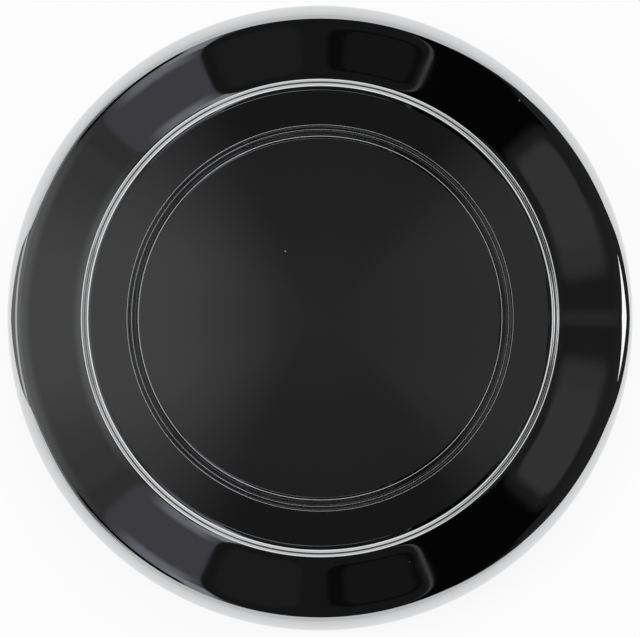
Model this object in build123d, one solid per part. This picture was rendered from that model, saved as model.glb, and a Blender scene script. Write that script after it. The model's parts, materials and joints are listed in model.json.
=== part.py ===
from build123d import *
from math import cos, pi, radians, sin, tan
import os

# Wheel centre cap: a plated moulding with a stepped, crowned face, a skirt and snap tabs behind it,
# and a split spring ring that sits in a groove inside the tabs and presses them outwards.
# The origin is on the axis, in the plane where the rim seats on the wheel. +Z points out of the face.
# Lengths are in millimetres and angles in degrees. Slopes are measured from the seat plane.

# Face, from the rim inwards
cap_diameter = 75.0
wall = 2.2
rim_height = 5.25
rim_round = 5.0
seat_round = 0.35
band_width = 8.9
band_slope = 10.0
flare_height = 0.77
flare_slope = 36.0
flare_round = 4.7
step_height = 1.97
step_slope = 60.0
step_foot_round = 2.05
shoulder_height = 0.4
shoulder_slope = 38.0
shoulder_round = 2.35
shoulder_top_round = 0.7
inside_corner_round = 0.6
crown_slope = 4.0
ring_width = 4.81
bead_width = 0.4
bead_height = 0.09
bead_gap = 0.1
inner_bead_width = 0.46
inner_bead_height = 0.19
bead_to_disc = 0.19
disc_rise = 0.69
disc_edge_slope = 73.0
disc_edge_round = 0.46
disc_foot_round = 0.2
disc_margin = 1.0
disc_slope = 2.5

# Skirt and snap tabs behind the face
rim_overhang = 4.1
tab_thickness = 1.8
tab_count = 10
tab_gap = 6.0
tab_corner_round = 1.5
slot_end_height = 0.5
lip_grip = 4.5
barb_depth = 1.0
catch_slope = 40.0
barb_land = 0.8
lead_in_length = 4.9
tip_thickness = 1.1
tab_edge_round = 0.25

# Retaining ring
wire_diameter = 1.4
ring_clearance = 0.05
ring_below_barb = 0.6
ring_split = 4.0
wire_end_round = 0.3


def rise(run, slope):
    """Height gained over a horizontal run at a slope."""
    return run * tan(radians(slope))


def run_of(height, slope):
    """Horizontal run over which a slope gains a height."""
    return height / tan(radians(slope))


def fitted(radius, turn, room):
    """A fillet's radius, limited by the length of straight wall that it may take up."""
    return min(radius, room / tan(radians(turn) / 2))


# Shares of a short wall that the fillets at its two ends may take up
shoulder_upper_share = 0.32
shoulder_lower_share = 0.67
step_upper_share = 0.505
step_lower_share = 0.48
flare_inner_share = 0.285
flare_outer_share = 0.71
disc_upper_share = 0.6
disc_lower_share = 0.38
rim_inside_share = 0.8
inner_foot_share = 0.5
inner_top_share = 0.33

# Face corners, before they are rounded, as radius and height
cap_radius = cap_diameter / 2
foot_radius = cap_radius - band_width
foot_height = rim_height + rise(band_width, band_slope)
top_radius = foot_radius - run_of(step_height, step_slope)
top_height = foot_height + step_height
bead_radius = top_radius - ring_width
inner_bead_radius = bead_radius - bead_width / 2 - bead_gap - inner_bead_width / 2
disc_foot_radius = inner_bead_radius - inner_bead_width / 2 - bead_to_disc
disc_top_radius = disc_foot_radius - run_of(disc_rise, disc_edge_slope)
dome_radius = disc_top_radius - disc_margin

# The shoulder cuts the corner between the crown and the step
shoulder_foot_radius = top_radius + run_of(shoulder_height, step_slope)
shoulder_climb = shoulder_height - rise(run_of(shoulder_height, step_slope), crown_slope)
shoulder_run = shoulder_climb / (tan(radians(shoulder_slope)) - tan(radians(crown_slope)))
shoulder_top_radius = shoulder_foot_radius - shoulder_run

# The flare cuts the corner between the step and the band
flare_top_radius = foot_radius - run_of(flare_height, step_slope)
flare_fall = flare_height - rise(run_of(flare_height, step_slope), flare_slope)
flare_end_radius = foot_radius + flare_fall / (tan(radians(flare_slope)) - tan(radians(band_slope)))


def band_height(radius):
    """Height of the band's face."""
    return rim_height + rise(cap_radius - radius, band_slope)


def under_band_height(radius):
    """Height of the band's underside, where the skirt joins it."""
    return band_height(radius) - wall / cos(radians(band_slope))


def crown_height(radius):
    """Height of the sloping ring between the step and the centre disc."""
    return top_height + rise(top_radius - radius, crown_slope)


def dome(edge_radius, edge_height, edge_slope):
    """Shallow arc from the dome's edge to the axis, level at the axis."""
    half_turn = radians(edge_slope) / 2
    apex_height = edge_height + edge_radius * tan(half_turn)
    sphere_radius = edge_radius / sin(radians(edge_slope))
    middle = (sphere_radius * sin(half_turn), apex_height - sphere_radius * (1 - cos(half_turn)))
    return ThreePointArc((edge_radius, edge_height), middle, (0, apex_height))


def bead(radius, width, height):
    """Arc over a bead on the sloping ring, from its outer foot to its inner foot."""
    outside = radius + width / 2
    inside = radius - width / 2
    return ThreePointArc(
        (outside, crown_height(outside)),
        (radius, crown_height(radius) + height),
        (inside, crown_height(inside)),
    )


def face_outline():
    """Closed section of the face, from the axis to the rim and back underneath."""
    shoulder_length = shoulder_run / cos(radians(shoulder_slope))
    step_length = (step_height - shoulder_height - flare_height) / sin(radians(step_slope))
    flare_length = (flare_end_radius - flare_top_radius) / cos(radians(flare_slope))
    rim_turn = 90 - band_slope
    top_room = shoulder_upper_share * shoulder_length
    top_round = fitted(shoulder_top_round, shoulder_slope - crown_slope, top_room)
    upper_room = min(shoulder_lower_share * shoulder_length, step_upper_share * step_length)
    upper_round = fitted(shoulder_round, step_slope - shoulder_slope, upper_room)
    foot_room = min(step_lower_share * step_length, flare_inner_share * flare_length)
    foot_round = fitted(step_foot_round, step_slope - flare_slope, foot_room)
    end_round = fitted(flare_round, flare_slope - band_slope, flare_outer_share * flare_length)
    outer_round = fitted(rim_round, rim_turn, rim_height - 2 * seat_round)

    # Underside, one wall thickness inside the band, the step and the crown
    inner_rim_radius = cap_radius - wall
    inner_rim_height = under_band_height(inner_rim_radius)
    across_step = wall / cos(radians(step_slope))
    across_band = wall / cos(radians(band_slope))
    across_crown = wall / cos(radians(crown_slope))
    steepness = tan(radians(step_slope))
    foot_shift = (across_step - across_band) / (steepness - tan(radians(band_slope)))
    top_shift = (across_step - across_crown) / (steepness - tan(radians(crown_slope)))
    inner_foot_radius = foot_radius - foot_shift
    inner_top_radius = top_radius - top_shift
    inner_length = (inner_foot_radius - inner_top_radius) / cos(radians(step_slope))
    rim_room = min(inner_rim_height - 2 * seat_round, rim_inside_share * (rim_overhang - wall))
    inner_rim_round = fitted(rim_round - wall, rim_turn, rim_room)
    inner_foot_round = fitted(step_foot_round, step_slope - band_slope, inner_foot_share * inner_length)
    inner_top_round = fitted(inside_corner_round, step_slope - crown_slope, inner_top_share * inner_length)

    outer_bead = bead(bead_radius, bead_width, bead_height)
    inner_bead = bead(inner_bead_radius, inner_bead_width, inner_bead_height)
    between_beads = Line(outer_bead @ 1, inner_bead @ 0)
    shell = FilletPolyline(
        outer_bead @ 0,
        (shoulder_top_radius, crown_height(shoulder_top_radius)),
        (shoulder_foot_radius, top_height - shoulder_height),
        (flare_top_radius, foot_height + flare_height),
        (flare_end_radius, band_height(flare_end_radius)),
        (cap_radius, rim_height),
        (cap_radius, 0),
        (inner_rim_radius, 0),
        (inner_rim_radius, inner_rim_height),
        (inner_foot_radius, under_band_height(inner_foot_radius)),
        (inner_top_radius, crown_height(inner_top_radius) - across_crown),
        (dome_radius, crown_height(dome_radius) - across_crown),
        radius=[
            top_round,
            upper_round,
            foot_round,
            end_round,
            outer_round,
            seat_round,
            seat_round,
            inner_rim_round,
            inner_foot_round,
            inner_top_round,
        ],
    )

    # The disc's edge is an S curve, two arcs that share its short wall
    disc_top_height = crown_height(disc_foot_radius) + disc_rise
    dome_height = disc_top_height + rise(disc_margin, disc_slope)
    edge_length = disc_rise / sin(radians(disc_edge_slope))
    edge_foot_round = fitted(disc_foot_round, disc_edge_slope - crown_slope, disc_lower_share * edge_length)
    edge_top_round = fitted(disc_edge_round, disc_edge_slope - disc_slope, disc_upper_share * edge_length)
    disc_edge = FilletPolyline(
        inner_bead @ 1,
        (disc_foot_radius, crown_height(disc_foot_radius)),
        (disc_top_radius, disc_top_height),
        (dome_radius, dome_height),
        radius=[edge_foot_round, edge_top_round],
    )
    upper_dome = dome(dome_radius, dome_height, disc_slope)
    lower_dome = dome(dome_radius, crown_height(dome_radius) - across_crown, crown_slope)
    axis_line = Line(upper_dome @ 1, lower_dome @ 1)
    beads = outer_bead + between_beads + inner_bead
    return make_face(shell + beads + disc_edge + upper_dome + axis_line + lower_dome)


# Tab corners, as radius and height
tab_outside = cap_radius - rim_overhang
tab_inside = tab_outside - tab_thickness
barb_outside = tab_outside + barb_depth
barb_top_height = -lip_grip - rise(barb_depth, catch_slope)
barb_foot_height = barb_top_height - barb_land
tip_height = barb_foot_height - lead_in_length
ring_height = barb_foot_height - ring_below_barb


def tab_outline():
    """Closed section through the skirt and a snap tab, with its barb and the ring's groove."""
    root_depth = wall / 2
    groove_radius = wire_diameter / 2 + ring_clearance
    top_inside = (tab_inside, under_band_height(tab_inside) + root_depth)
    groove_low = (tab_inside, ring_height - groove_radius)
    groove_high = (tab_inside, ring_height + groove_radius)
    outside = FilletPolyline(
        top_inside,
        (tab_outside, under_band_height(tab_outside) + root_depth),
        (tab_outside, -lip_grip),
        (barb_outside, barb_top_height),
        (barb_outside, barb_foot_height),
        (tab_inside + tip_thickness, tip_height),
        (tab_inside, tip_height),
        groove_low,
        radius=[0] + [tab_edge_round] * 5,
    )
    groove = ThreePointArc(groove_low, (tab_inside + groove_radius, ring_height), groove_high)
    return make_face(outside + groove + Line(groove_high, top_inside))


def slot_cutter():
    """Round-ended slot between two tabs, pointing along +X, flared to round the tabs' corners."""
    end_radius = tab_gap / 2
    slot_length = slot_end_height - end_radius - tip_height
    mouth_depth = tab_gap
    mouth_width = tab_gap + 4 * tab_corner_round
    slot = Pos(0, tip_height + slot_length / 2) * Rectangle(tab_gap, slot_length)
    slot += Pos(0, slot_end_height - end_radius) * Circle(end_radius)
    slot += Pos(0, tip_height - mouth_depth / 2) * Rectangle(mouth_width, mouth_depth)
    inner_corners = slot.vertices().group_by(Axis.Y)[1].sort_by(Axis.X)[1:3]
    return extrude(Plane.YZ * fillet(inner_corners, tab_corner_round), cap_radius)


def cap_moulding():
    """The whole moulding: face, skirt and tabs in one solid."""
    face = revolve(Plane.XZ * face_outline(), Axis.Z)
    tabs = revolve(Plane.XZ * tab_outline(), Axis.Z)
    cutter = slot_cutter()
    pitch = 360 / tab_count
    for index in range(tab_count):
        tabs -= Rot(0, 0, index * pitch - 90) * cutter
    return face + tabs


def retaining_ring():
    """Split wire ring in the tabs' groove, open at a slot, with its cut ends eased."""
    wire = Pos(tab_inside, ring_height) * Circle(wire_diameter / 2)
    split_angle = 360 * ring_split / (2 * pi * tab_inside)
    ring = revolve(Plane.XZ * wire, Axis.Z, revolution_arc=360 - split_angle)
    ring = Rot(0, 0, split_angle / 2 - 90) * ring
    return fillet(ring.faces().filter_by(GeomType.PLANE).edges(), wire_end_round)


os.makedirs("parts", exist_ok=True)
export_step(cap_moulding(), "parts/cap_moulding.step")
export_step(retaining_ring(), "parts/retaining_ring.step")
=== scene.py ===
import json
from math import asin, atan2, ceil, cos, hypot, pi, radians, sin, sqrt, tan

import bpy
import numpy as np
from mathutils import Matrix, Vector

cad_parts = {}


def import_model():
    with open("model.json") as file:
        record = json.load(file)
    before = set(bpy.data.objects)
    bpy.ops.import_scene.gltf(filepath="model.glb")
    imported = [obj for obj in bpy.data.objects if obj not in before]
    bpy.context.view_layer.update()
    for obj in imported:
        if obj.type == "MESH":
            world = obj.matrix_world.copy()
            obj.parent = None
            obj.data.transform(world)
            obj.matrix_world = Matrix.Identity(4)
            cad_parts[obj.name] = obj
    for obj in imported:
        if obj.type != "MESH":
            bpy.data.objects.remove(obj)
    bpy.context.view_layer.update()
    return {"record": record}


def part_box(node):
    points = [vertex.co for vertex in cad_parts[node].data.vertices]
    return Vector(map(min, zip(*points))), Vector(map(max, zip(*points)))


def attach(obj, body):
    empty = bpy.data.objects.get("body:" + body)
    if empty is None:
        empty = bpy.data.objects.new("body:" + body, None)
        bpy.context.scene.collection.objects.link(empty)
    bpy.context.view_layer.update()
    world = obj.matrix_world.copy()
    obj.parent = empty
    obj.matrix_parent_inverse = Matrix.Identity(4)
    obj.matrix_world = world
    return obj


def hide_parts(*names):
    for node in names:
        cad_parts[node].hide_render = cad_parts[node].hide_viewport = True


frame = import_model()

MM = 0.001

# Sizes read from the frame
RING_LOW, RING_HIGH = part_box("retaining_ring")
MOUNTS = {mount["name"]: mount for mount in frame["record"]["mounts"]}
TIP_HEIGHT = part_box("cap_moulding")[0].z
TAB_OUTSIDE = MOUNTS["snap_tabs"]["dims"]["r_mm"] * MM
LIP_GRIP = MOUNTS["snap_tabs"]["dims"]["length_mm"] * MM
RING_HEIGHT = (RING_LOW.z + RING_HIGH.z) / 2

# Section of the face, from the rim inwards, as in the solid
CAP_RADIUS = 37.5 * MM
WALL = 2.2 * MM
RIM_HEIGHT = 5.25 * MM
RIM_ROUND = 5.0 * MM
SEAT_ROUND = 0.35 * MM
BAND_WIDTH = 8.9 * MM
BAND_SLOPE = radians(10)
FLARE_HEIGHT = 0.77 * MM
FLARE_SLOPE = radians(36)
FLARE_ROUND = 4.7 * MM
STEP_HEIGHT = 1.97 * MM
STEP_SLOPE = radians(60)
STEP_FOOT_ROUND = 2.05 * MM
SHOULDER_HEIGHT = 0.4 * MM
SHOULDER_SLOPE = radians(38)
SHOULDER_ROUND = 2.35 * MM
SHOULDER_TOP_ROUND = 0.7 * MM
INSIDE_CORNER_ROUND = 0.6 * MM
CROWN_SLOPE = radians(4)
RING_WIDTH = 4.81 * MM
BEAD_WIDTH = 0.4 * MM
BEAD_HEIGHT = 0.09 * MM
BEAD_GAP = 0.1 * MM
INNER_BEAD_WIDTH = 0.46 * MM
INNER_BEAD_HEIGHT = 0.19 * MM
BEAD_TO_DISC = 0.19 * MM
DISC_RISE = 0.69 * MM
DISC_EDGE_SLOPE = radians(73)
DISC_EDGE_ROUND = 0.46 * MM
DISC_FOOT_ROUND = 0.2 * MM
DISC_MARGIN = 1.0 * MM
DISC_SLOPE = radians(2.5)

# Shares of a short wall that the rounds at its two ends may take up
SHOULDER_UPPER_SHARE = 0.32
SHOULDER_LOWER_SHARE = 0.67
STEP_UPPER_SHARE = 0.505
STEP_LOWER_SHARE = 0.48
FLARE_INNER_SHARE = 0.285
FLARE_OUTER_SHARE = 0.71
DISC_UPPER_SHARE = 0.6
DISC_LOWER_SHARE = 0.38
RIM_INSIDE_SHARE = 0.8
INNER_FOOT_SHARE = 0.5
INNER_TOP_SHARE = 0.33

# Skirt, tabs and ring, as in the solids
TAB_THICKNESS = 1.8 * MM
TAB_COUNT = 10
TAB_GAP = 6.0 * MM
TAB_CORNER_ROUND = 1.5 * MM
SLOT_END_HEIGHT = 0.5 * MM
BARB_DEPTH = 1.0 * MM
CATCH_SLOPE = radians(40)
BARB_LAND = 0.8 * MM
TIP_THICKNESS = 1.1 * MM
TAB_EDGE_ROUND = 0.25 * MM
WIRE_RADIUS = 0.7 * MM
RING_CLEARANCE = 0.05 * MM
RING_SPLIT = 4.0 * MM
WIRE_END_ROUND = 0.3 * MM

# Fineness of the meshes
COLUMNS_PER_TAB = 24
FACE_STEP = radians(4)
BACK_STEP = radians(9)
GROOVE_STEPS = 16
DOME_STEPS = 12
SLOT_ROWS = 9
ROW_GAP = 0.02 * MM
LEAST_SHARE = 0.02
WIRE_SIDES = 24
WIRE_ROWS = 240
WIRE_END_ROWS = 6
WELD_GRID = 1e8

TAB_INSIDE = TAB_OUTSIDE - TAB_THICKNESS
PITCH = 2 * pi / TAB_COUNT
FIRST_SLOT = -pi / 2


class Shell:
    """Collects faces with exact normals, and welds the corners that meet."""

    def __init__(self):
        self.numbers = {}
        self.points = []
        self.faces = []
        self.normals = []
        self.slots = []

    def number(self, point):
        key = tuple(round(value * WELD_GRID) for value in point)
        if key not in self.numbers:
            self.numbers[key] = len(self.points)
            self.points.append(point)
        return self.numbers[key]

    def face(self, corners, slot):
        """One face from (point, normal) corners. Corners that fall together become one."""
        kept = {}
        for point, normal in corners:
            kept.setdefault(self.number(point), normal)
        if len(kept) > 2:
            self.faces.append(tuple(kept))
            self.normals.extend(kept.values())
            self.slots.append(slot)

    def grid(self, rows, slot):
        """Quads between neighbouring rows of (point, normal)."""
        for upper, lower in zip(rows, rows[1:]):
            for column in range(len(upper) - 1):
                following = column + 1
                self.face((upper[column], lower[column], lower[following], upper[following]), slot)

    def build(self, name, materials):
        mesh = bpy.data.meshes.new(name)
        mesh.from_pydata(self.points, [], self.faces)
        for material in materials:
            mesh.materials.append(material)
        mesh.polygons.foreach_set("material_index", self.slots)
        mesh.polygons.foreach_set("use_smooth", [True] * len(self.faces))
        mesh.normals_split_custom_set(self.normals)
        mesh.update()
        piece = bpy.data.objects.new(name, mesh)
        bpy.context.scene.collection.objects.link(piece)
        return piece


def fitted(radius, turn, room):
    """A round's radius, limited by the length of straight wall that it may take up."""
    return min(radius, room / tan(turn / 2))


def rounded(corners, radii, arc_step=FACE_STEP):
    """Samples ((radius, height), normal) of straight runs joined by arcs. The normal is on the left."""
    points = [np.array(corner, float) for corner in corners]
    samples = []

    def add(point, direction):
        samples.append((tuple(point), (-direction[1], direction[0])))

    heading = (points[1] - points[0]) / np.linalg.norm(points[1] - points[0])
    add(points[0], heading)
    for before, corner, after, radius in zip(points, points[1:], points[2:], radii):
        incoming = (corner - before) / np.linalg.norm(corner - before)
        outgoing = (after - corner) / np.linalg.norm(after - corner)
        turn = atan2(
            incoming[0] * outgoing[1] - incoming[1] * outgoing[0],
            float(incoming @ outgoing),
        )
        start = corner - incoming * radius * tan(abs(turn) / 2)
        side = 1 if turn > 0 else -1
        centre = start + side * radius * np.array((-incoming[1], incoming[0]))
        steps = max(2, ceil(abs(turn) / arc_step))
        for step in range(steps + 1):
            angle = turn * step / steps
            direction = np.array((
                incoming[0] * cos(angle) - incoming[1] * sin(angle),
                incoming[0] * sin(angle) + incoming[1] * cos(angle),
            ))
            add(centre + side * radius * np.array((direction[1], -direction[0])), direction)
    heading = (points[-1] - points[-2]) / np.linalg.norm(points[-1] - points[-2])
    add(points[-1], heading)
    return samples


def turned(sample, angle):
    """A section's sample as a point and a normal in space, turned about the axis."""
    (radius, height), (out, up) = sample
    return (
        (radius * cos(angle), radius * sin(angle), height),
        (out * cos(angle), out * sin(angle), up),
    )


def lathe(shell, samples, slot):
    """A section turned all the way round."""
    columns = COLUMNS_PER_TAB * TAB_COUNT
    angles = [FIRST_SLOT + 2 * pi * column / columns for column in range(columns)]
    rows = []
    for sample in samples:
        row = [turned(sample, angle) for angle in angles]
        rows.append(row + row[:1])
    shell.grid(rows, slot)


# Corners of the section, as in the solid
FOOT_RADIUS = CAP_RADIUS - BAND_WIDTH
FOOT_HEIGHT = RIM_HEIGHT + BAND_WIDTH * tan(BAND_SLOPE)
TOP_RADIUS = FOOT_RADIUS - STEP_HEIGHT / tan(STEP_SLOPE)
TOP_HEIGHT = FOOT_HEIGHT + STEP_HEIGHT
SHOULDER_FOOT_RADIUS = TOP_RADIUS + SHOULDER_HEIGHT / tan(STEP_SLOPE)
SHOULDER_CLIMB = SHOULDER_HEIGHT - (SHOULDER_FOOT_RADIUS - TOP_RADIUS) * tan(CROWN_SLOPE)
SHOULDER_RUN = SHOULDER_CLIMB / (tan(SHOULDER_SLOPE) - tan(CROWN_SLOPE))
SHOULDER_TOP_RADIUS = SHOULDER_FOOT_RADIUS - SHOULDER_RUN
FLARE_TOP_RADIUS = FOOT_RADIUS - FLARE_HEIGHT / tan(STEP_SLOPE)
FLARE_FALL = FLARE_HEIGHT - (FOOT_RADIUS - FLARE_TOP_RADIUS) * tan(FLARE_SLOPE)
FLARE_END_RADIUS = FOOT_RADIUS + FLARE_FALL / (tan(FLARE_SLOPE) - tan(BAND_SLOPE))
BEAD_RADIUS = TOP_RADIUS - RING_WIDTH
INNER_BEAD_RADIUS = BEAD_RADIUS - BEAD_WIDTH / 2 - BEAD_GAP - INNER_BEAD_WIDTH / 2
DISC_FOOT_RADIUS = INNER_BEAD_RADIUS - INNER_BEAD_WIDTH / 2 - BEAD_TO_DISC
DISC_TOP_RADIUS = DISC_FOOT_RADIUS - DISC_RISE / tan(DISC_EDGE_SLOPE)
DOME_RADIUS = DISC_TOP_RADIUS - DISC_MARGIN
RIM_TURN = pi / 2 - BAND_SLOPE


def band_height(radius):
    """Height of the band's face."""
    return RIM_HEIGHT + (CAP_RADIUS - radius) * tan(BAND_SLOPE)


def under_band(radius):
    """Height of the band's underside."""
    return band_height(radius) - WALL / cos(BAND_SLOPE)


def crown_height(radius):
    """Height of the sloping ring between the step and the centre disc."""
    return TOP_HEIGHT + (TOP_RADIUS - radius) * tan(CROWN_SLOPE)


def dome(edge_radius, edge_height, edge_slope, side):
    """Samples of a shallow dome from the axis to its edge. Side is 1 on top and -1 underneath."""
    sphere = edge_radius / sin(edge_slope)
    apex = edge_height + edge_radius * tan(edge_slope / 2)
    samples = []
    for step in range(DOME_STEPS):
        angle = edge_slope * step / DOME_STEPS
        point = (sphere * sin(angle), apex - sphere * (1 - cos(angle)))
        samples.append((point, (side * sin(angle), side * cos(angle))))
    return samples


def bead(radius, width, height):
    """Samples of the arc over a bead, from its inner foot to its outer foot."""
    feet = [np.array((foot, crown_height(foot))) for foot in (radius - width / 2, radius + width / 2)]
    crest = np.array((radius, crown_height(radius) + height))
    sides = 2 * np.array((crest - feet[0], feet[1] - crest))
    squares = (crest @ crest - feet[0] @ feet[0], feet[1] @ feet[1] - crest @ crest)
    centre = np.linalg.solve(sides, squares)
    bend = np.linalg.norm(crest - centre)
    first, last = (atan2(*(foot - centre)) for foot in feet)
    steps = ceil((last - first) / FACE_STEP)
    samples = []
    for step in range(steps + 1):
        lean = first + (last - first) * step / steps
        normal = np.array((sin(lean), cos(lean)))
        samples.append((tuple(centre + bend * normal), tuple(normal)))
    return samples


def face_samples():
    """The front of the cap, from the axis over the rim to the seat's inner edge."""
    disc_foot = (DISC_FOOT_RADIUS, crown_height(DISC_FOOT_RADIUS))
    disc_top = (DISC_TOP_RADIUS, disc_foot[1] + DISC_RISE)
    dome_edge = (DOME_RADIUS, disc_top[1] + DISC_MARGIN * tan(DISC_SLOPE))
    edge_length = DISC_RISE / sin(DISC_EDGE_SLOPE)
    inner_bead = bead(INNER_BEAD_RADIUS, INNER_BEAD_WIDTH, INNER_BEAD_HEIGHT)
    outer_bead = bead(BEAD_RADIUS, BEAD_WIDTH, BEAD_HEIGHT)
    shoulder_length = SHOULDER_RUN / cos(SHOULDER_SLOPE)
    step_length = (STEP_HEIGHT - SHOULDER_HEIGHT - FLARE_HEIGHT) / sin(STEP_SLOPE)
    flare_length = (FLARE_END_RADIUS - FLARE_TOP_RADIUS) / cos(FLARE_SLOPE)
    upper_room = min(SHOULDER_LOWER_SHARE * shoulder_length, STEP_UPPER_SHARE * step_length)
    foot_room = min(STEP_LOWER_SHARE * step_length, FLARE_INNER_SHARE * flare_length)
    samples = dome(*dome_edge, DISC_SLOPE, 1)
    samples += rounded(
        [dome_edge, disc_top, disc_foot, inner_bead[0][0]],
        [
            fitted(DISC_EDGE_ROUND, DISC_EDGE_SLOPE - DISC_SLOPE, DISC_UPPER_SHARE * edge_length),
            fitted(DISC_FOOT_ROUND, DISC_EDGE_SLOPE - CROWN_SLOPE, DISC_LOWER_SHARE * edge_length),
        ],
    )
    samples += inner_bead + rounded([inner_bead[-1][0], outer_bead[0][0]], []) + outer_bead
    samples += rounded(
        [
            outer_bead[-1][0],
            (SHOULDER_TOP_RADIUS, crown_height(SHOULDER_TOP_RADIUS)),
            (SHOULDER_FOOT_RADIUS, TOP_HEIGHT - SHOULDER_HEIGHT),
            (FLARE_TOP_RADIUS, FOOT_HEIGHT + FLARE_HEIGHT),
            (FLARE_END_RADIUS, band_height(FLARE_END_RADIUS)),
            (CAP_RADIUS, RIM_HEIGHT),
            (CAP_RADIUS, 0),
            (CAP_RADIUS - WALL, 0),
            (CAP_RADIUS - WALL, 2 * SEAT_ROUND),
        ],
        [
            fitted(SHOULDER_TOP_ROUND, SHOULDER_SLOPE - CROWN_SLOPE, SHOULDER_UPPER_SHARE * shoulder_length),
            fitted(SHOULDER_ROUND, STEP_SLOPE - SHOULDER_SLOPE, upper_room),
            fitted(STEP_FOOT_ROUND, STEP_SLOPE - FLARE_SLOPE, foot_room),
            fitted(FLARE_ROUND, FLARE_SLOPE - BAND_SLOPE, FLARE_OUTER_SHARE * flare_length),
            fitted(RIM_ROUND, RIM_TURN, RIM_HEIGHT - 2 * SEAT_ROUND),
            SEAT_ROUND,
            SEAT_ROUND,
        ],
    )
    return samples


def rim_inside_samples():
    """From the seat's inner edge up the inside of the rim and down the outside of the skirt."""
    inner_radius = CAP_RADIUS - WALL
    inner_height = under_band(inner_radius)
    room = min(inner_height - 2 * SEAT_ROUND, RIM_INSIDE_SHARE * (inner_radius - TAB_OUTSIDE))
    return rounded(
        [
            (inner_radius, 2 * SEAT_ROUND),
            (inner_radius, inner_height),
            (TAB_OUTSIDE, under_band(TAB_OUTSIDE)),
            (TAB_OUTSIDE, SLOT_END_HEIGHT),
        ],
        [fitted(RIM_ROUND - WALL, RIM_TURN, room), TAB_EDGE_ROUND],
        BACK_STEP,
    )


def underside_samples():
    """From the inside of the skirt up under the band, the step and the dome to the axis."""
    across_step = WALL / cos(STEP_SLOPE)
    across_band = WALL / cos(BAND_SLOPE)
    across_crown = WALL / cos(CROWN_SLOPE)
    foot = FOOT_RADIUS - (across_step - across_band) / (tan(STEP_SLOPE) - tan(BAND_SLOPE))
    top = TOP_RADIUS - (across_step - across_crown) / (tan(STEP_SLOPE) - tan(CROWN_SLOPE))
    length = (foot - top) / cos(STEP_SLOPE)
    dome_edge = (DOME_RADIUS, crown_height(DOME_RADIUS) - across_crown)
    samples = rounded(
        [
            (TAB_INSIDE, SLOT_END_HEIGHT),
            (TAB_INSIDE, under_band(TAB_INSIDE)),
            (foot, under_band(foot)),
            (top, crown_height(top) - across_crown),
            dome_edge,
        ],
        [
            TAB_EDGE_ROUND,
            fitted(STEP_FOOT_ROUND, STEP_SLOPE - BAND_SLOPE, INNER_FOOT_SHARE * length),
            fitted(INSIDE_CORNER_ROUND, STEP_SLOPE - CROWN_SLOPE, INNER_TOP_SHARE * length),
        ],
        BACK_STEP,
    )
    return samples + dome(*dome_edge, CROWN_SLOPE, -1)[::-1]


def tab_profiles():
    """The outer and inner faces of a tab from the slot's end down to its tip, as samples."""
    barb_outside = TAB_OUTSIDE + BARB_DEPTH
    barb_top = -LIP_GRIP - BARB_DEPTH * tan(CATCH_SLOPE)
    tip_middle = (TAB_INSIDE + TIP_THICKNESS / 2, TIP_HEIGHT)
    outer = rounded(
        [
            (TAB_OUTSIDE, SLOT_END_HEIGHT),
            (TAB_OUTSIDE, -LIP_GRIP),
            (barb_outside, barb_top),
            (barb_outside, barb_top - BARB_LAND),
            (TAB_INSIDE + TIP_THICKNESS, TIP_HEIGHT),
            tip_middle,
        ],
        [TAB_EDGE_ROUND] * 4,
        BACK_STEP,
    )
    groove = WIRE_RADIUS + RING_CLEARANCE
    inner = [((TAB_INSIDE, SLOT_END_HEIGHT), (-1, 0)), ((TAB_INSIDE, RING_HEIGHT + groove), (-1, 0))]
    for step in range(1, GROOVE_STEPS):
        angle = pi * step / GROOVE_STEPS
        point = (TAB_INSIDE + groove * sin(angle), RING_HEIGHT + groove * cos(angle))
        inner.append((point, (-sin(angle), -cos(angle))))
    lower = rounded(
        [(TAB_INSIDE, RING_HEIGHT - groove), (TAB_INSIDE, TIP_HEIGHT), tip_middle],
        [TAB_EDGE_ROUND],
        BACK_STEP,
    )
    inner += [(point, (-abs(out), up)) for point, (out, up) in lower]
    return outer, inner


def half_slot(height):
    """Half the slot's width at a height, and how fast it changes."""
    end_radius = TAB_GAP / 2
    end_centre = SLOT_END_HEIGHT - end_radius
    corner_centre = TIP_HEIGHT + TAB_CORNER_ROUND
    if height > end_centre:
        lift = min(height - end_centre, end_radius)
        width = sqrt(max(end_radius ** 2 - lift ** 2, 0))
        return width, -lift / max(width, end_radius * LEAST_SHARE)
    if height < corner_centre:
        drop = corner_centre - height
        inset = sqrt(max(TAB_CORNER_ROUND ** 2 - drop ** 2, 0))
        return end_radius + TAB_CORNER_ROUND - inset, -drop / max(inset, TAB_CORNER_ROUND * LEAST_SHARE)
    return end_radius, 0.0


def along(samples, height):
    """The sample of a falling section at a height."""
    heights = [-sample[0][1] for sample in samples]
    values = [
        np.interp(-height, heights, [sample[part][index] for sample in samples])
        for part, index in ((0, 0), (1, 0), (1, 1))
    ]
    length = hypot(values[1], values[2])
    return (values[0], height), (values[1] / length, values[2] / length)


def tab_heights(outer, inner):
    """Heights of the rows of a tab: those of its faces, its slots' round ends and its round corners."""
    end_radius = TAB_GAP / 2
    heights = [sample[0][1] for sample in outer + inner]
    for row in range(SLOT_ROWS + 1):
        quarter = pi / 2 * row / SLOT_ROWS
        heights.append(SLOT_END_HEIGHT - end_radius * (1 - cos(quarter)))
        heights.append(TIP_HEIGHT + TAB_CORNER_ROUND * (1 - cos(quarter)))
    heights.sort(reverse=True)
    kept = [heights[0]]
    for height in heights[1:]:
        if kept[-1] - height > ROW_GAP:
            kept.append(height)
    kept[-1] = TIP_HEIGHT
    return kept


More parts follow.
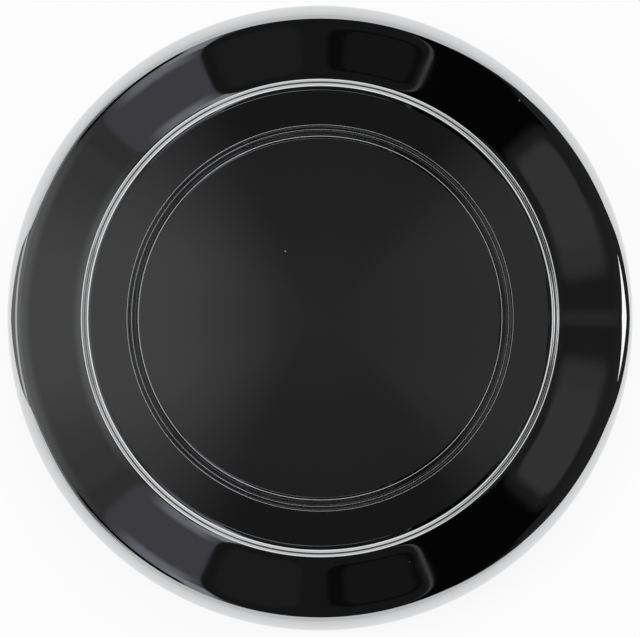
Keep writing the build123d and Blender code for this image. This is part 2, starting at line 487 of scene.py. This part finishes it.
def add_tabs(shell, slot):
    """The ring of tabs below the ends of the slots, with the slots' walls."""
    outer, inner = tab_profiles()
    heights = tab_heights(outer, inner)
    for tab in range(TAB_COUNT):
        middle = FIRST_SLOT + (tab + 0.5) * PITCH
        outer_rows = []
        inner_rows = []
        walls = {-1: [], 1: []}
        for height in heights:
            width, lean = half_slot(height)
            outer_sample = along(outer, height)
            inner_sample = along(inner, height)
            for rows, sample in ((outer_rows, outer_sample), (inner_rows, inner_sample)):
                reach = PITCH / 2 - asin(width / sample[0][0])
                row = []
                for column in range(COLUMNS_PER_TAB + 1):
                    angle = middle + reach * (2 * column / COLUMNS_PER_TAB - 1)
                    row.append(turned(sample, angle))
                rows.append(row)
            for side, wall in walls.items():
                edge = 0 if side < 0 else COLUMNS_PER_TAB
                slot_angle = middle + side * PITCH / 2
                length = hypot(1, lean)
                normal = (
                    -side * sin(slot_angle) / length,
                    side * cos(slot_angle) / length,
                    lean / length,
                )
                wall.append([(outer_rows[-1][edge][0], normal), (inner_rows[-1][edge][0], normal)])
        shell.grid(outer_rows, slot)
        shell.grid([row[::-1] for row in inner_rows], slot)
        shell.grid([row[::-1] for row in walls[-1]], slot)
        shell.grid(walls[1], slot)
        down = (0, 0, -1)
        tip = [[(point, down) for point, _ in row] for row in (outer_rows[-1], inner_rows[-1])]
        shell.grid(tip, slot)


def add_wire(shell, slot):
    """The split ring as a bent wire with eased ends."""
    length = 2 * pi * TAB_INSIDE - RING_SPLIT
    rows = [(0, 0, 1)]
    for row in range(WIRE_END_ROWS + 1):
        quarter = pi / 2 * row / WIRE_END_ROWS
        inset = WIRE_END_ROUND * (1 - cos(quarter))
        rows.append((inset, WIRE_RADIUS - WIRE_END_ROUND * (1 - sin(quarter)), cos(quarter)))
    run = length - 2 * WIRE_END_ROUND
    middle = [
        (WIRE_END_ROUND + run * row / WIRE_ROWS, WIRE_RADIUS, 0) for row in range(1, WIRE_ROWS)
    ]
    far_end = [(length - distance, radius, -lean) for distance, radius, lean in rows[::-1]]
    circles = []
    for distance, radius, lean in rows + middle + far_end:
        angle = FIRST_SLOT + (RING_SPLIT / 2 + distance) / TAB_INSIDE
        out = np.array((cos(angle), sin(angle), 0))
        forward = np.array((-sin(angle), cos(angle), 0))
        centre = TAB_INSIDE * out + np.array((0, 0, RING_HEIGHT))
        circle = []
        for side in range(WIRE_SIDES):
            around = 2 * pi * side / WIRE_SIDES
            spoke = cos(around) * out + np.array((0, 0, sin(around)))
            normal = sqrt(1 - lean ** 2) * spoke - lean * forward
            circle.append((tuple(centre + radius * spoke), tuple(normal)))
        circles.append(circle + circle[:1])
    shell.grid(circles, slot)


def straighten(mesh):
    """Keeps each point's place in the straight wire, as length along it and place across it."""
    places = np.empty(len(mesh.vertices) * 3)
    mesh.vertices.foreach_get("co", places)
    x, y, z = places.reshape(-1, 3).T
    angle = np.mod(np.arctan2(y, x) - FIRST_SLOT, 2 * pi)
    straight = np.column_stack((angle * TAB_INSIDE, np.hypot(x, y) - TAB_INSIDE, z - RING_HEIGHT))
    attribute = mesh.attributes.new("straight", "FLOAT_VECTOR", "POINT")
    attribute.data.foreach_set("vector", straight.ravel())


class Nodes:
    """A material's nodes, with short ways to add to them."""

    def __init__(self, name):
        self.material = bpy.data.materials.new(name)
        self.material.use_nodes = True
        self.nodes = self.material.node_tree.nodes
        self.links = self.material.node_tree.links

    def add(self, kind, settings=None, **values):
        node = self.nodes.new(kind)
        for key, value in (settings or {}).items():
            setattr(node, key, value)
        for key, value in values.items():
            self.feed(node.inputs[key.replace("_", " ")], value)
        return node

    def feed(self, socket, value):
        if isinstance(value, bpy.types.NodeSocket):
            self.links.new(value, socket)
        else:
            socket.default_value = value

    def place(self):
        """Places in the piece's own frame."""
        return self.add("ShaderNodeTexCoord").outputs["Object"]

    def math(self, operation, *values):
        node = self.add("ShaderNodeMath", {"operation": operation})
        for socket, value in zip(node.inputs, values):
            self.feed(socket, value)
        return node.outputs[0]


class Finish(Nodes):
    """A surface of the object, with one shader."""

    def __init__(self, name, colour, metallic):
        super().__init__(name)
        self.shader = self.nodes["Principled BSDF"]
        self.shader.inputs["Base Color"].default_value = (*colour, 1)
        self.shader.inputs["Metallic"].default_value = metallic

    def stretched(self, vector, scale):
        """A place scaled by a different amount along each axis."""
        return self.add("ShaderNodeMapping", Vector=vector, Scale=scale).outputs["Vector"]

    def noise(self, vector, scale, detail):
        """Noise from 0 to 1, with a feature size of one over the scale."""
        node = self.add("ShaderNodeTexNoise", Vector=vector, Scale=scale, Detail=detail)
        return node.outputs["Fac"]

    def spread(self, value, low, high):
        """Noise spread between two levels."""
        node = self.add("ShaderNodeMapRange", Value=value)
        for socket, level in zip(node.inputs[1:5], (*NOISE_SPAN, low, high)):
            socket.default_value = level
        return node.outputs["Result"]

    def shades(self, value, dark, light):
        """Noise as a colour between two shades."""
        ramp = self.add("ShaderNodeValToRGB", Fac=value)
        for stop, place, shade in zip(ramp.color_ramp.elements, NOISE_SPAN, (dark, light)):
            stop.position = place
            stop.color = (*shade, 1)
        return ramp.outputs["Color"]

    def bump(self, height, depth):
        """Fine relief, with its depth in metres."""
        node = self.add("ShaderNodeBump", Height=height, Distance=depth)
        self.feed(self.shader.inputs["Normal"], node.outputs["Normal"])


# Finishes, with scales in features per metre and depths in metres
NOISE_SPAN = (0.3, 0.7)
CHROME_COLOUR = (0.65, 0.655, 0.665)
FACE_ROUGHNESS = (0.018, 0.042)
WIPE_SCALES = (60, 190, 60)
WAVE_SCALE = 170
WAVE_DEPTH = 1.2e-6
DUST_COLOUR = (0.2, 0.197, 0.19)
DUST_SPACING = 8 * MM
DUST_RADIUS = 0.1 * MM
DUST_ROUGHNESS = 0.6
BACK_SHADES = ((0.43, 0.43, 0.44), (0.54, 0.54, 0.55))
BACK_ROUGHNESS = (0.30, 0.20)
CLOUD_SCALE = 110
GRAIN_SCALE = 2600
GRAIN_DEPTH = 6e-6
STEEL_COLOUR = (0.42, 0.41, 0.4)
STEEL_SHADES = ((0.33, 0.32, 0.31), (0.5, 0.49, 0.475))
STEEL_ROUGHNESS = (0.22, 0.38)
DRAWN_SCALES = (120, 5200, 5200)
DRAWN_DEPTH = 8e-6
FILM_SCALE = 160


def chrome_face():
    """Mirror plating with faint wipe marks, a slight waviness and a few specks of dust."""
    finish = Finish("chrome_face", CHROME_COLOUR, 1)
    place = finish.place()
    wipes = finish.noise(finish.stretched(place, WIPE_SCALES), scale=1, detail=4)
    grains = finish.add("ShaderNodeTexVoronoi", Vector=place, Scale=1 / DUST_SPACING)
    dust = finish.math("LESS_THAN", grains.outputs["Distance"], DUST_RADIUS / DUST_SPACING)
    polish = finish.spread(wipes, *FACE_ROUGHNESS)
    roughness = finish.math("MULTIPLY_ADD", dust, DUST_ROUGHNESS, polish)
    finish.feed(finish.shader.inputs["Roughness"], roughness)
    finish.feed(finish.shader.inputs["Metallic"], finish.math("SUBTRACT", 1, dust))
    colour = finish.add("ShaderNodeValToRGB", Fac=dust)
    for stop, shade in zip(colour.color_ramp.elements, (CHROME_COLOUR, DUST_COLOUR)):
        stop.color = (*shade, 1)
    finish.feed(finish.shader.inputs["Base Color"], colour.outputs["Color"])
    finish.bump(finish.noise(place, WAVE_SCALE, detail=1), WAVE_DEPTH)
    return finish.material


def chrome_back():
    """Thinner plating behind the face, satin, with the grain of the tool under it."""
    finish = Finish("chrome_back", CHROME_COLOUR, 1)
    place = finish.place()
    cloud = finish.noise(place, CLOUD_SCALE, detail=3)
    finish.feed(finish.shader.inputs["Base Color"], finish.shades(cloud, *BACK_SHADES))
    finish.feed(finish.shader.inputs["Roughness"], finish.spread(cloud, *BACK_ROUGHNESS))
    finish.bump(finish.noise(place, GRAIN_SCALE, detail=3), GRAIN_DEPTH)
    return finish.material


def spring_steel():
    """Drawn wire with fine marks along it and a thin, uneven film of oil."""
    finish = Finish("spring_steel", STEEL_COLOUR, 1)
    straight = finish.add("ShaderNodeAttribute", {"attribute_name": "straight"}).outputs["Vector"]
    drawn = finish.noise(finish.stretched(straight, DRAWN_SCALES), scale=1, detail=3)
    film = finish.noise(straight, FILM_SCALE, detail=2)
    finish.feed(finish.shader.inputs["Base Color"], finish.shades(drawn, *STEEL_SHADES))
    finish.feed(finish.shader.inputs["Roughness"], finish.spread(film, *STEEL_ROUGHNESS))
    finish.bump(drawn, DRAWN_DEPTH)
    return finish.material


def cap_moulding():
    """The plated moulding as one closed mesh."""
    shell = Shell()
    lathe(shell, face_samples(), 0)
    lathe(shell, rim_inside_samples(), 1)
    add_tabs(shell, 1)
    lathe(shell, underside_samples(), 1)
    piece = shell.build("chrome_cap", [chrome_face(), chrome_back()])
    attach(piece, "root")
    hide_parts("cap_moulding")


def retaining_ring():
    """The spring ring as one closed mesh."""
    shell = Shell()
    add_wire(shell, 0)
    piece = shell.build("spring_ring", [spring_steel()])
    straighten(piece.data)
    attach(piece, "root")
    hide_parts("retaining_ring")


# The studio. The paper's level in the plating goes by metres from the axis
FLOOR_HEIGHT = TIP_HEIGHT
FLOOR_RADIUS = 4.0
FLOOR_SIDES = 96
PAPER_SHADE = 0.85
PAPER_GLOW = 0.9
# Painted reflection of shade and light: the paper's glow level as the plating sees it, by metres from the
# axis
PAPER_REACH = 0.4
PAPER_LEVELS = ((0.055, 1.0), (0.13, 0.82), (0.22, 1.1))


def glow(name, strength):
    """A material that only gives out light."""
    tree = Nodes(name)
    tree.nodes.clear()
    emission = tree.add("ShaderNodeEmission", Strength=strength)
    tree.add("ShaderNodeOutputMaterial", Surface=emission.outputs[0])
    tree.material.cycles.emission_sampling = "NONE"
    return tree.material


def paper_material():
    """White paper with a light shadow. Its glow in the plating changes with the distance from the cap, a
    painted reflection of shade and light: it dips at about 13 cm from the axis and rises above white further
    out.
    """
    tree = Nodes("paper")
    tree.nodes.clear()
    diffuse = tree.add("ShaderNodeBsdfDiffuse", Color=(PAPER_SHADE, PAPER_SHADE, PAPER_SHADE, 1))
    rays = tree.add("ShaderNodeLightPath").outputs
    reach = tree.add("ShaderNodeVectorMath", {"operation": "LENGTH"}, Vector=tree.place())
    ramp = tree.add("ShaderNodeValToRGB", Fac=tree.math("DIVIDE", reach.outputs["Value"], PAPER_REACH))
    ramp.color_ramp.elements.new(0.5)
    for stop, (distance, level) in zip(ramp.color_ramp.elements, PAPER_LEVELS):
        stop.position = distance / PAPER_REACH
        stop.color = (level, level, level, 1)
    # The plating sees the painted reflection level, and the camera sees plain white
    mirrored = tree.add("ShaderNodeMix", Factor=rays["Is Glossy Ray"], A=1, B=ramp.outputs["Color"])
    white = tree.add("ShaderNodeEmission", Strength=mirrored.outputs["Result"])
    seen = tree.math("MAXIMUM", rays["Is Camera Ray"], rays["Is Glossy Ray"])
    seen = tree.math("MAXIMUM", seen, rays["Is Transmission Ray"])
    mix = tree.add("ShaderNodeMixShader", Fac=tree.math("MULTIPLY", seen, PAPER_GLOW))
    tree.feed(mix.inputs[1], diffuse.outputs[0])
    tree.feed(mix.inputs[2], white.outputs[0])
    tree.add("ShaderNodeOutputMaterial", Surface=mix.outputs[0])
    return tree.material


def floor():
    """A round sheet of paper under the tabs, wide enough to reach the room's walls."""
    bpy.ops.mesh.primitive_circle_add(vertices=FLOOR_SIDES, radius=FLOOR_RADIUS, fill_type="NGON")
    paper = bpy.context.object
    paper.name = "paper"
    paper.location.z = FLOOR_HEIGHT
    paper.data.materials.append(paper_material())


def eased(low, high, value):
    """0 below low, 1 above high, with a smooth change between."""
    share = np.clip((value - low) / (high - low), 0, 1)
    return share * share * (3 - 2 * share)


# Directions are an azimuth from +X and a tilt from straight up, in degrees
ROOM_RADIUS = 3.0
ROOM_COLUMNS = 960
ROOM_ROWS = 100
ROOM_FOOT = 90.4
ZENITH_LEVEL = 0.0285
CEILING_LEVEL = 0.022
CEILING_LEFT = 0.055
CEILING_RIGHT = 0.016
CEILING_DARK = -0.009
ROOM_LEVEL = 0.0018

# Azimuths and tilts over which the ceiling's parts fade into each other
LEFT_FADE = (110, 165)
RIGHT_FADE = (28, 58)
DARK_FADE_IN = (40, 60)
DARK_FADE_OUT = (110, 132)
DARK_TILTS = (7, 11)
ZENITH_TILTS = (0, 7.5)
CEILING_TILTS = (13, 20)

# Panels are superellipses of this power
PANEL_CORNER = 5
WHITE = (1, 1, 1)
LILAC = (0.97, 0.97, 1.08)

# Grey panels on the walls: azimuths, tilts, softness, level and tint
PANELS = (
    ((-42, 42), (-86, 86), 0.04, 0.0155, WHITE),
    ((-49, 49), (66, 100), 0.05, 0.018, WHITE),
    ((-1.5, 1.5), (-86, 86), 0.5, 0.028, WHITE),
    ((9, 24), (-57, 57), 0.3, 0.04, WHITE),
    ((15, 38.8), (-51, 51), 0.12, 0.047, WHITE),
    ((100, 246), (-90, 90), 0.008, 0.042, WHITE),
    ((100, 138), (-86, 86), 0.04, 0.07, LILAC),
    ((117, 131), (50, 82), 0.6, 0.19, LILAC),
    ((110, 122), (66, 85), 0.3, 0.27, LILAC),
    ((143, 217), (-90, 90), 0.03, 0.05, WHITE),
    ((158, 202), (-90, 90), 0.6, 0.085, WHITE),
    ((150, 210), (60, 120), 0.5, 0.135, WHITE),
    ((117, 144), (76, 86), 0.1, 0.004, WHITE),
    ((66.6, 112.5), (-81, 81), 0.006, 0.08, WHITE),
    ((67.3, 114.8), (-82, 82), 0.012, 0.0115, WHITE),
    ((68.5, 88.5), (-52, 52), 0.04, 0.0045, WHITE),
    ((70, 85), (-47, 47), 0.1, 0.0105, WHITE),
    ((94, 112), (-60, 60), 0.1, 0.0165, WHITE),
    ((72, 116), (9, 20.2), 0.05, 0.33, WHITE),
    ((92, 116), (9, 20.2), 0.3, 0.55, WHITE),
)

# The white strip at the foot of the walls: tilts over which it fades in, and levels by azimuth
STRIP_TILTS = (84.5, 89)
STRIP_LEVELS = ((0, 0.95), (130, 1.4), (180, 1.4))


def panel_share(azimuth, tilt, azimuths, tilts, soft):
    """1 inside a panel with rounded corners, 0 outside it."""
    across = (azimuth - (azimuths[0] + azimuths[1]) / 2) / ((azimuths[1] - azimuths[0]) / 2)
    upright = (tilt - (tilts[0] + tilts[1]) / 2) / ((tilts[1] - tilts[0]) / 2)
    reach = (np.abs(across) ** PANEL_CORNER + np.abs(upright) ** PANEL_CORNER) ** (1 / PANEL_CORNER)
    return 1 - eased(1 - soft, 1 + soft, reach)


def wall_colours(azimuth, tilt):
    """Light given out by the room in a direction, the same in front of the cap and behind it."""
    azimuth = np.abs(azimuth)
    ceiling = CEILING_LEVEL + CEILING_LEFT * eased(*LEFT_FADE, azimuth)
    ceiling += CEILING_RIGHT * (1 - eased(*RIGHT_FADE, azimuth))
    dark_share = eased(*DARK_FADE_IN, azimuth) * (1 - eased(*DARK_FADE_OUT, azimuth))
    ceiling += CEILING_DARK * dark_share * eased(*DARK_TILTS, tilt)
    ceiling = ZENITH_LEVEL + (ceiling - ZENITH_LEVEL) * eased(*ZENITH_TILTS, tilt)
    colours = np.full((len(tilt), 3), ROOM_LEVEL)
    for azimuths, tilts, soft, level, tint in PANELS:
        share = panel_share(azimuth, tilt, azimuths, tilts, soft)
        colours += (level * np.array(tint) - colours) * share[:, None]
    colours = ceiling[:, None] + (colours - ceiling[:, None]) * eased(*CEILING_TILTS, tilt)[:, None]
    strip = np.interp(azimuth, *zip(*STRIP_LEVELS))
    return colours + (strip[:, None] - colours) * eased(*STRIP_TILTS, tilt)[:, None]


def walls():
    """A dark room with a few grey panels, and a white strip where it meets the paper."""
    azimuths = np.linspace(-180, 180, ROOM_COLUMNS + 1)[:-1]
    tilts = np.linspace(ROOM_FOOT / ROOM_ROWS, ROOM_FOOT, ROOM_ROWS)
    azimuth, tilt = (values.ravel() for values in np.meshgrid(azimuths, tilts))
    points = ROOM_RADIUS * np.column_stack((
        np.sin(np.radians(tilt)) * np.cos(np.radians(azimuth)),
        np.sin(np.radians(tilt)) * np.sin(np.radians(azimuth)),
        np.cos(np.radians(tilt)),
    ))
    faces = [tuple(range(ROOM_COLUMNS))]
    for row in range(ROOM_ROWS - 1):
        upper = row * ROOM_COLUMNS
        lower = upper + ROOM_COLUMNS
        for column in range(ROOM_COLUMNS):
            following = (column + 1) % ROOM_COLUMNS
            faces.append((upper + column, lower + column, lower + following, upper + following))
    mesh = bpy.data.meshes.new("walls")
    mesh.from_pydata(points.tolist(), [], faces)
    colours = np.ones((len(points), 4))
    colours[:, :3] = wall_colours(azimuth, tilt)
    attribute = mesh.color_attributes.new("light", "FLOAT_COLOR", "POINT")
    attribute.data.foreach_set("color", colours.ravel())
    material = glow("walls", 1)
    nodes = material.node_tree.nodes
    light = nodes.new("ShaderNodeVertexColor")
    light.layer_name = "light"
    material.node_tree.links.new(light.outputs["Color"], nodes["Emission"].inputs["Color"])
    mesh.materials.append(material)
    room = bpy.data.objects.new("walls", mesh)
    bpy.context.scene.collection.objects.link(room)


# Glowing upright cards that only the plating sees, painted reflections of shade and light: glow level,
# distance, and azimuths with both edges' heights in mm
CARDS = {
    "dark_right": (
        0.02,
        45 * MM,
        (
            (0, -4.5, 6.1),
            (10, -2.2, 6.1),
            (15, -1.1, 6.1),
            (20, 1.2, 6.1),
            (40, 3.25, 6.1),
            (50, 4.4, 6.1),
            (55, 4.95, 6.1),
            (64, 5.8, 6.0),
        ),
    ),
    "light_right": (1.45, 44.8 * MM, ((0, 0.5, 4.3), (5, 1.4, 3.65), (10, 2.2, 2.9), (12, 2.5, 2.6))),
    "light_middle": (0.72, 45.2 * MM, ((48, 3.35, 5.4), (68, 3.35, 6.1), (95, 3.35, 6.1), (166, 3.35, 5.4))),
    "grey_left": (
        0.18,
        45 * MM,
        (
            (128, 5.15, 5.35),
            (140, 4.15, 5.6),
            (150, 4.7, 6.0),
            (155, 4.9, 6.1),
            (162, 4.15, 6.1),
            (166, 0.2, 6.1),
            (172, -1.1, 6.1),
            (180, -3.2, 6.1),
        ),
    ),
    "light_left": (0.62, 44.8 * MM, ((163, 2.6, 2.7), (166, 2.0, 3.35), (180, 1.8, 3.35))),
}
CARD_COLUMNS = 24


def card(name, level, distance, edges):
    """A glowing upright card that curves round the cap, the same in front of it and behind it. It is hidden
    from the camera and from diffuse and shadow rays, so it is only a painted reflection in the plating.
    """
    azimuths, lows, highs = np.transpose(edges)
    points = []
    faces = []
    for side in (1, -1):
        first = len(points)
        for azimuth in np.linspace(azimuths[0], azimuths[-1], CARD_COLUMNS + 1):
            angle = side * radians(azimuth)
            for heights in (lows, highs):
                height = np.interp(azimuth, azimuths, heights)
                points.append((distance * cos(angle), distance * sin(angle), height * MM))
        for corner in range(first, first + 2 * CARD_COLUMNS, 2):
            faces.append((corner, corner + 1, corner + 3, corner + 2))
    mesh = bpy.data.meshes.new(name)
    mesh.from_pydata(points, [], faces)
    mesh.materials.append(glow(name, level))
    piece = bpy.data.objects.new(name, mesh)
    bpy.context.scene.collection.objects.link(piece)
    # Hidden from all but glossy rays: a painted reflection of shade or light in the plating
    piece.visible_camera = False
    piece.visible_diffuse = False
    piece.visible_shadow = False


WORLD_LEVEL = 0.02

# Soft lamps: azimuth, tilt, distance and size in metres, and power in watts
LAMPS = {"key": (180, 24, 1.4, 0.35, 6), "fill": (60, 20, 1.5, 1.2, 18)}


def world():
    """A dim grey all round, for what the room and the paper leave open."""
    studio = bpy.data.worlds.new("studio")
    bpy.context.scene.world = studio
    studio.use_nodes = True
    colour = (WORLD_LEVEL, WORLD_LEVEL, WORLD_LEVEL, 1)
    studio.node_tree.nodes["Background"].inputs["Color"].default_value = colour


def lamp(name, azimuth, tilt, distance, size, power):
    """A soft square lamp aimed at the cap, which the plating doesn't mirror."""
    light = bpy.data.lights.new(name, "AREA")
    light.size = size
    light.energy = power
    piece = bpy.data.objects.new(name, light)
    bpy.context.scene.collection.objects.link(piece)
    azimuth = radians(azimuth)
    tilt = radians(tilt)
    place = Vector((sin(tilt) * cos(azimuth), sin(tilt) * sin(azimuth), cos(tilt)))
    piece.location = place * distance
    piece.rotation_euler = place.to_track_quat("Z", "Y").to_euler()
    piece.visible_glossy = False


# The camera, from the cap's place in the photograph in pixels
PHOTO_WIDTH = 640
PHOTO_CENTRE = (320.1, 318.0)
FRAME_CENTRE = (320.0, 318.5)
CAP_RADIUS_PIXELS = 312.5
LENS = 250
SENSOR = 36
FAR_CLIP = 20
RIM_WIDEST = RIM_HEIGHT - RIM_ROUND * tan(RIM_TURN / 2)


def camera():
    """Straight above the cap, at the distance that gives the photograph's scale at the rim."""
    eye = bpy.data.cameras.new("camera")
    eye.lens = LENS
    eye.sensor_width = SENSOR
    eye.clip_end = FAR_CLIP
    piece = bpy.data.objects.new("camera", eye)
    bpy.context.scene.collection.objects.link(piece)
    metres_per_pixel = CAP_RADIUS / CAP_RADIUS_PIXELS
    distance = PHOTO_WIDTH * LENS / SENSOR * metres_per_pixel
    piece.location = (
        (FRAME_CENTRE[0] - PHOTO_CENTRE[0]) * metres_per_pixel,
        (PHOTO_CENTRE[1] - FRAME_CENTRE[1]) * metres_per_pixel,
        RIM_WIDEST + distance,
    )
    bpy.context.scene.camera = piece


cap_moulding()
retaining_ring()
floor()
walls()
for name, setting in CARDS.items():
    card(name, *setting)
world()
for name, setting in LAMPS.items():
    lamp(name, *setting)
camera()
bpy.context.scene.view_settings.view_transform = "Standard"
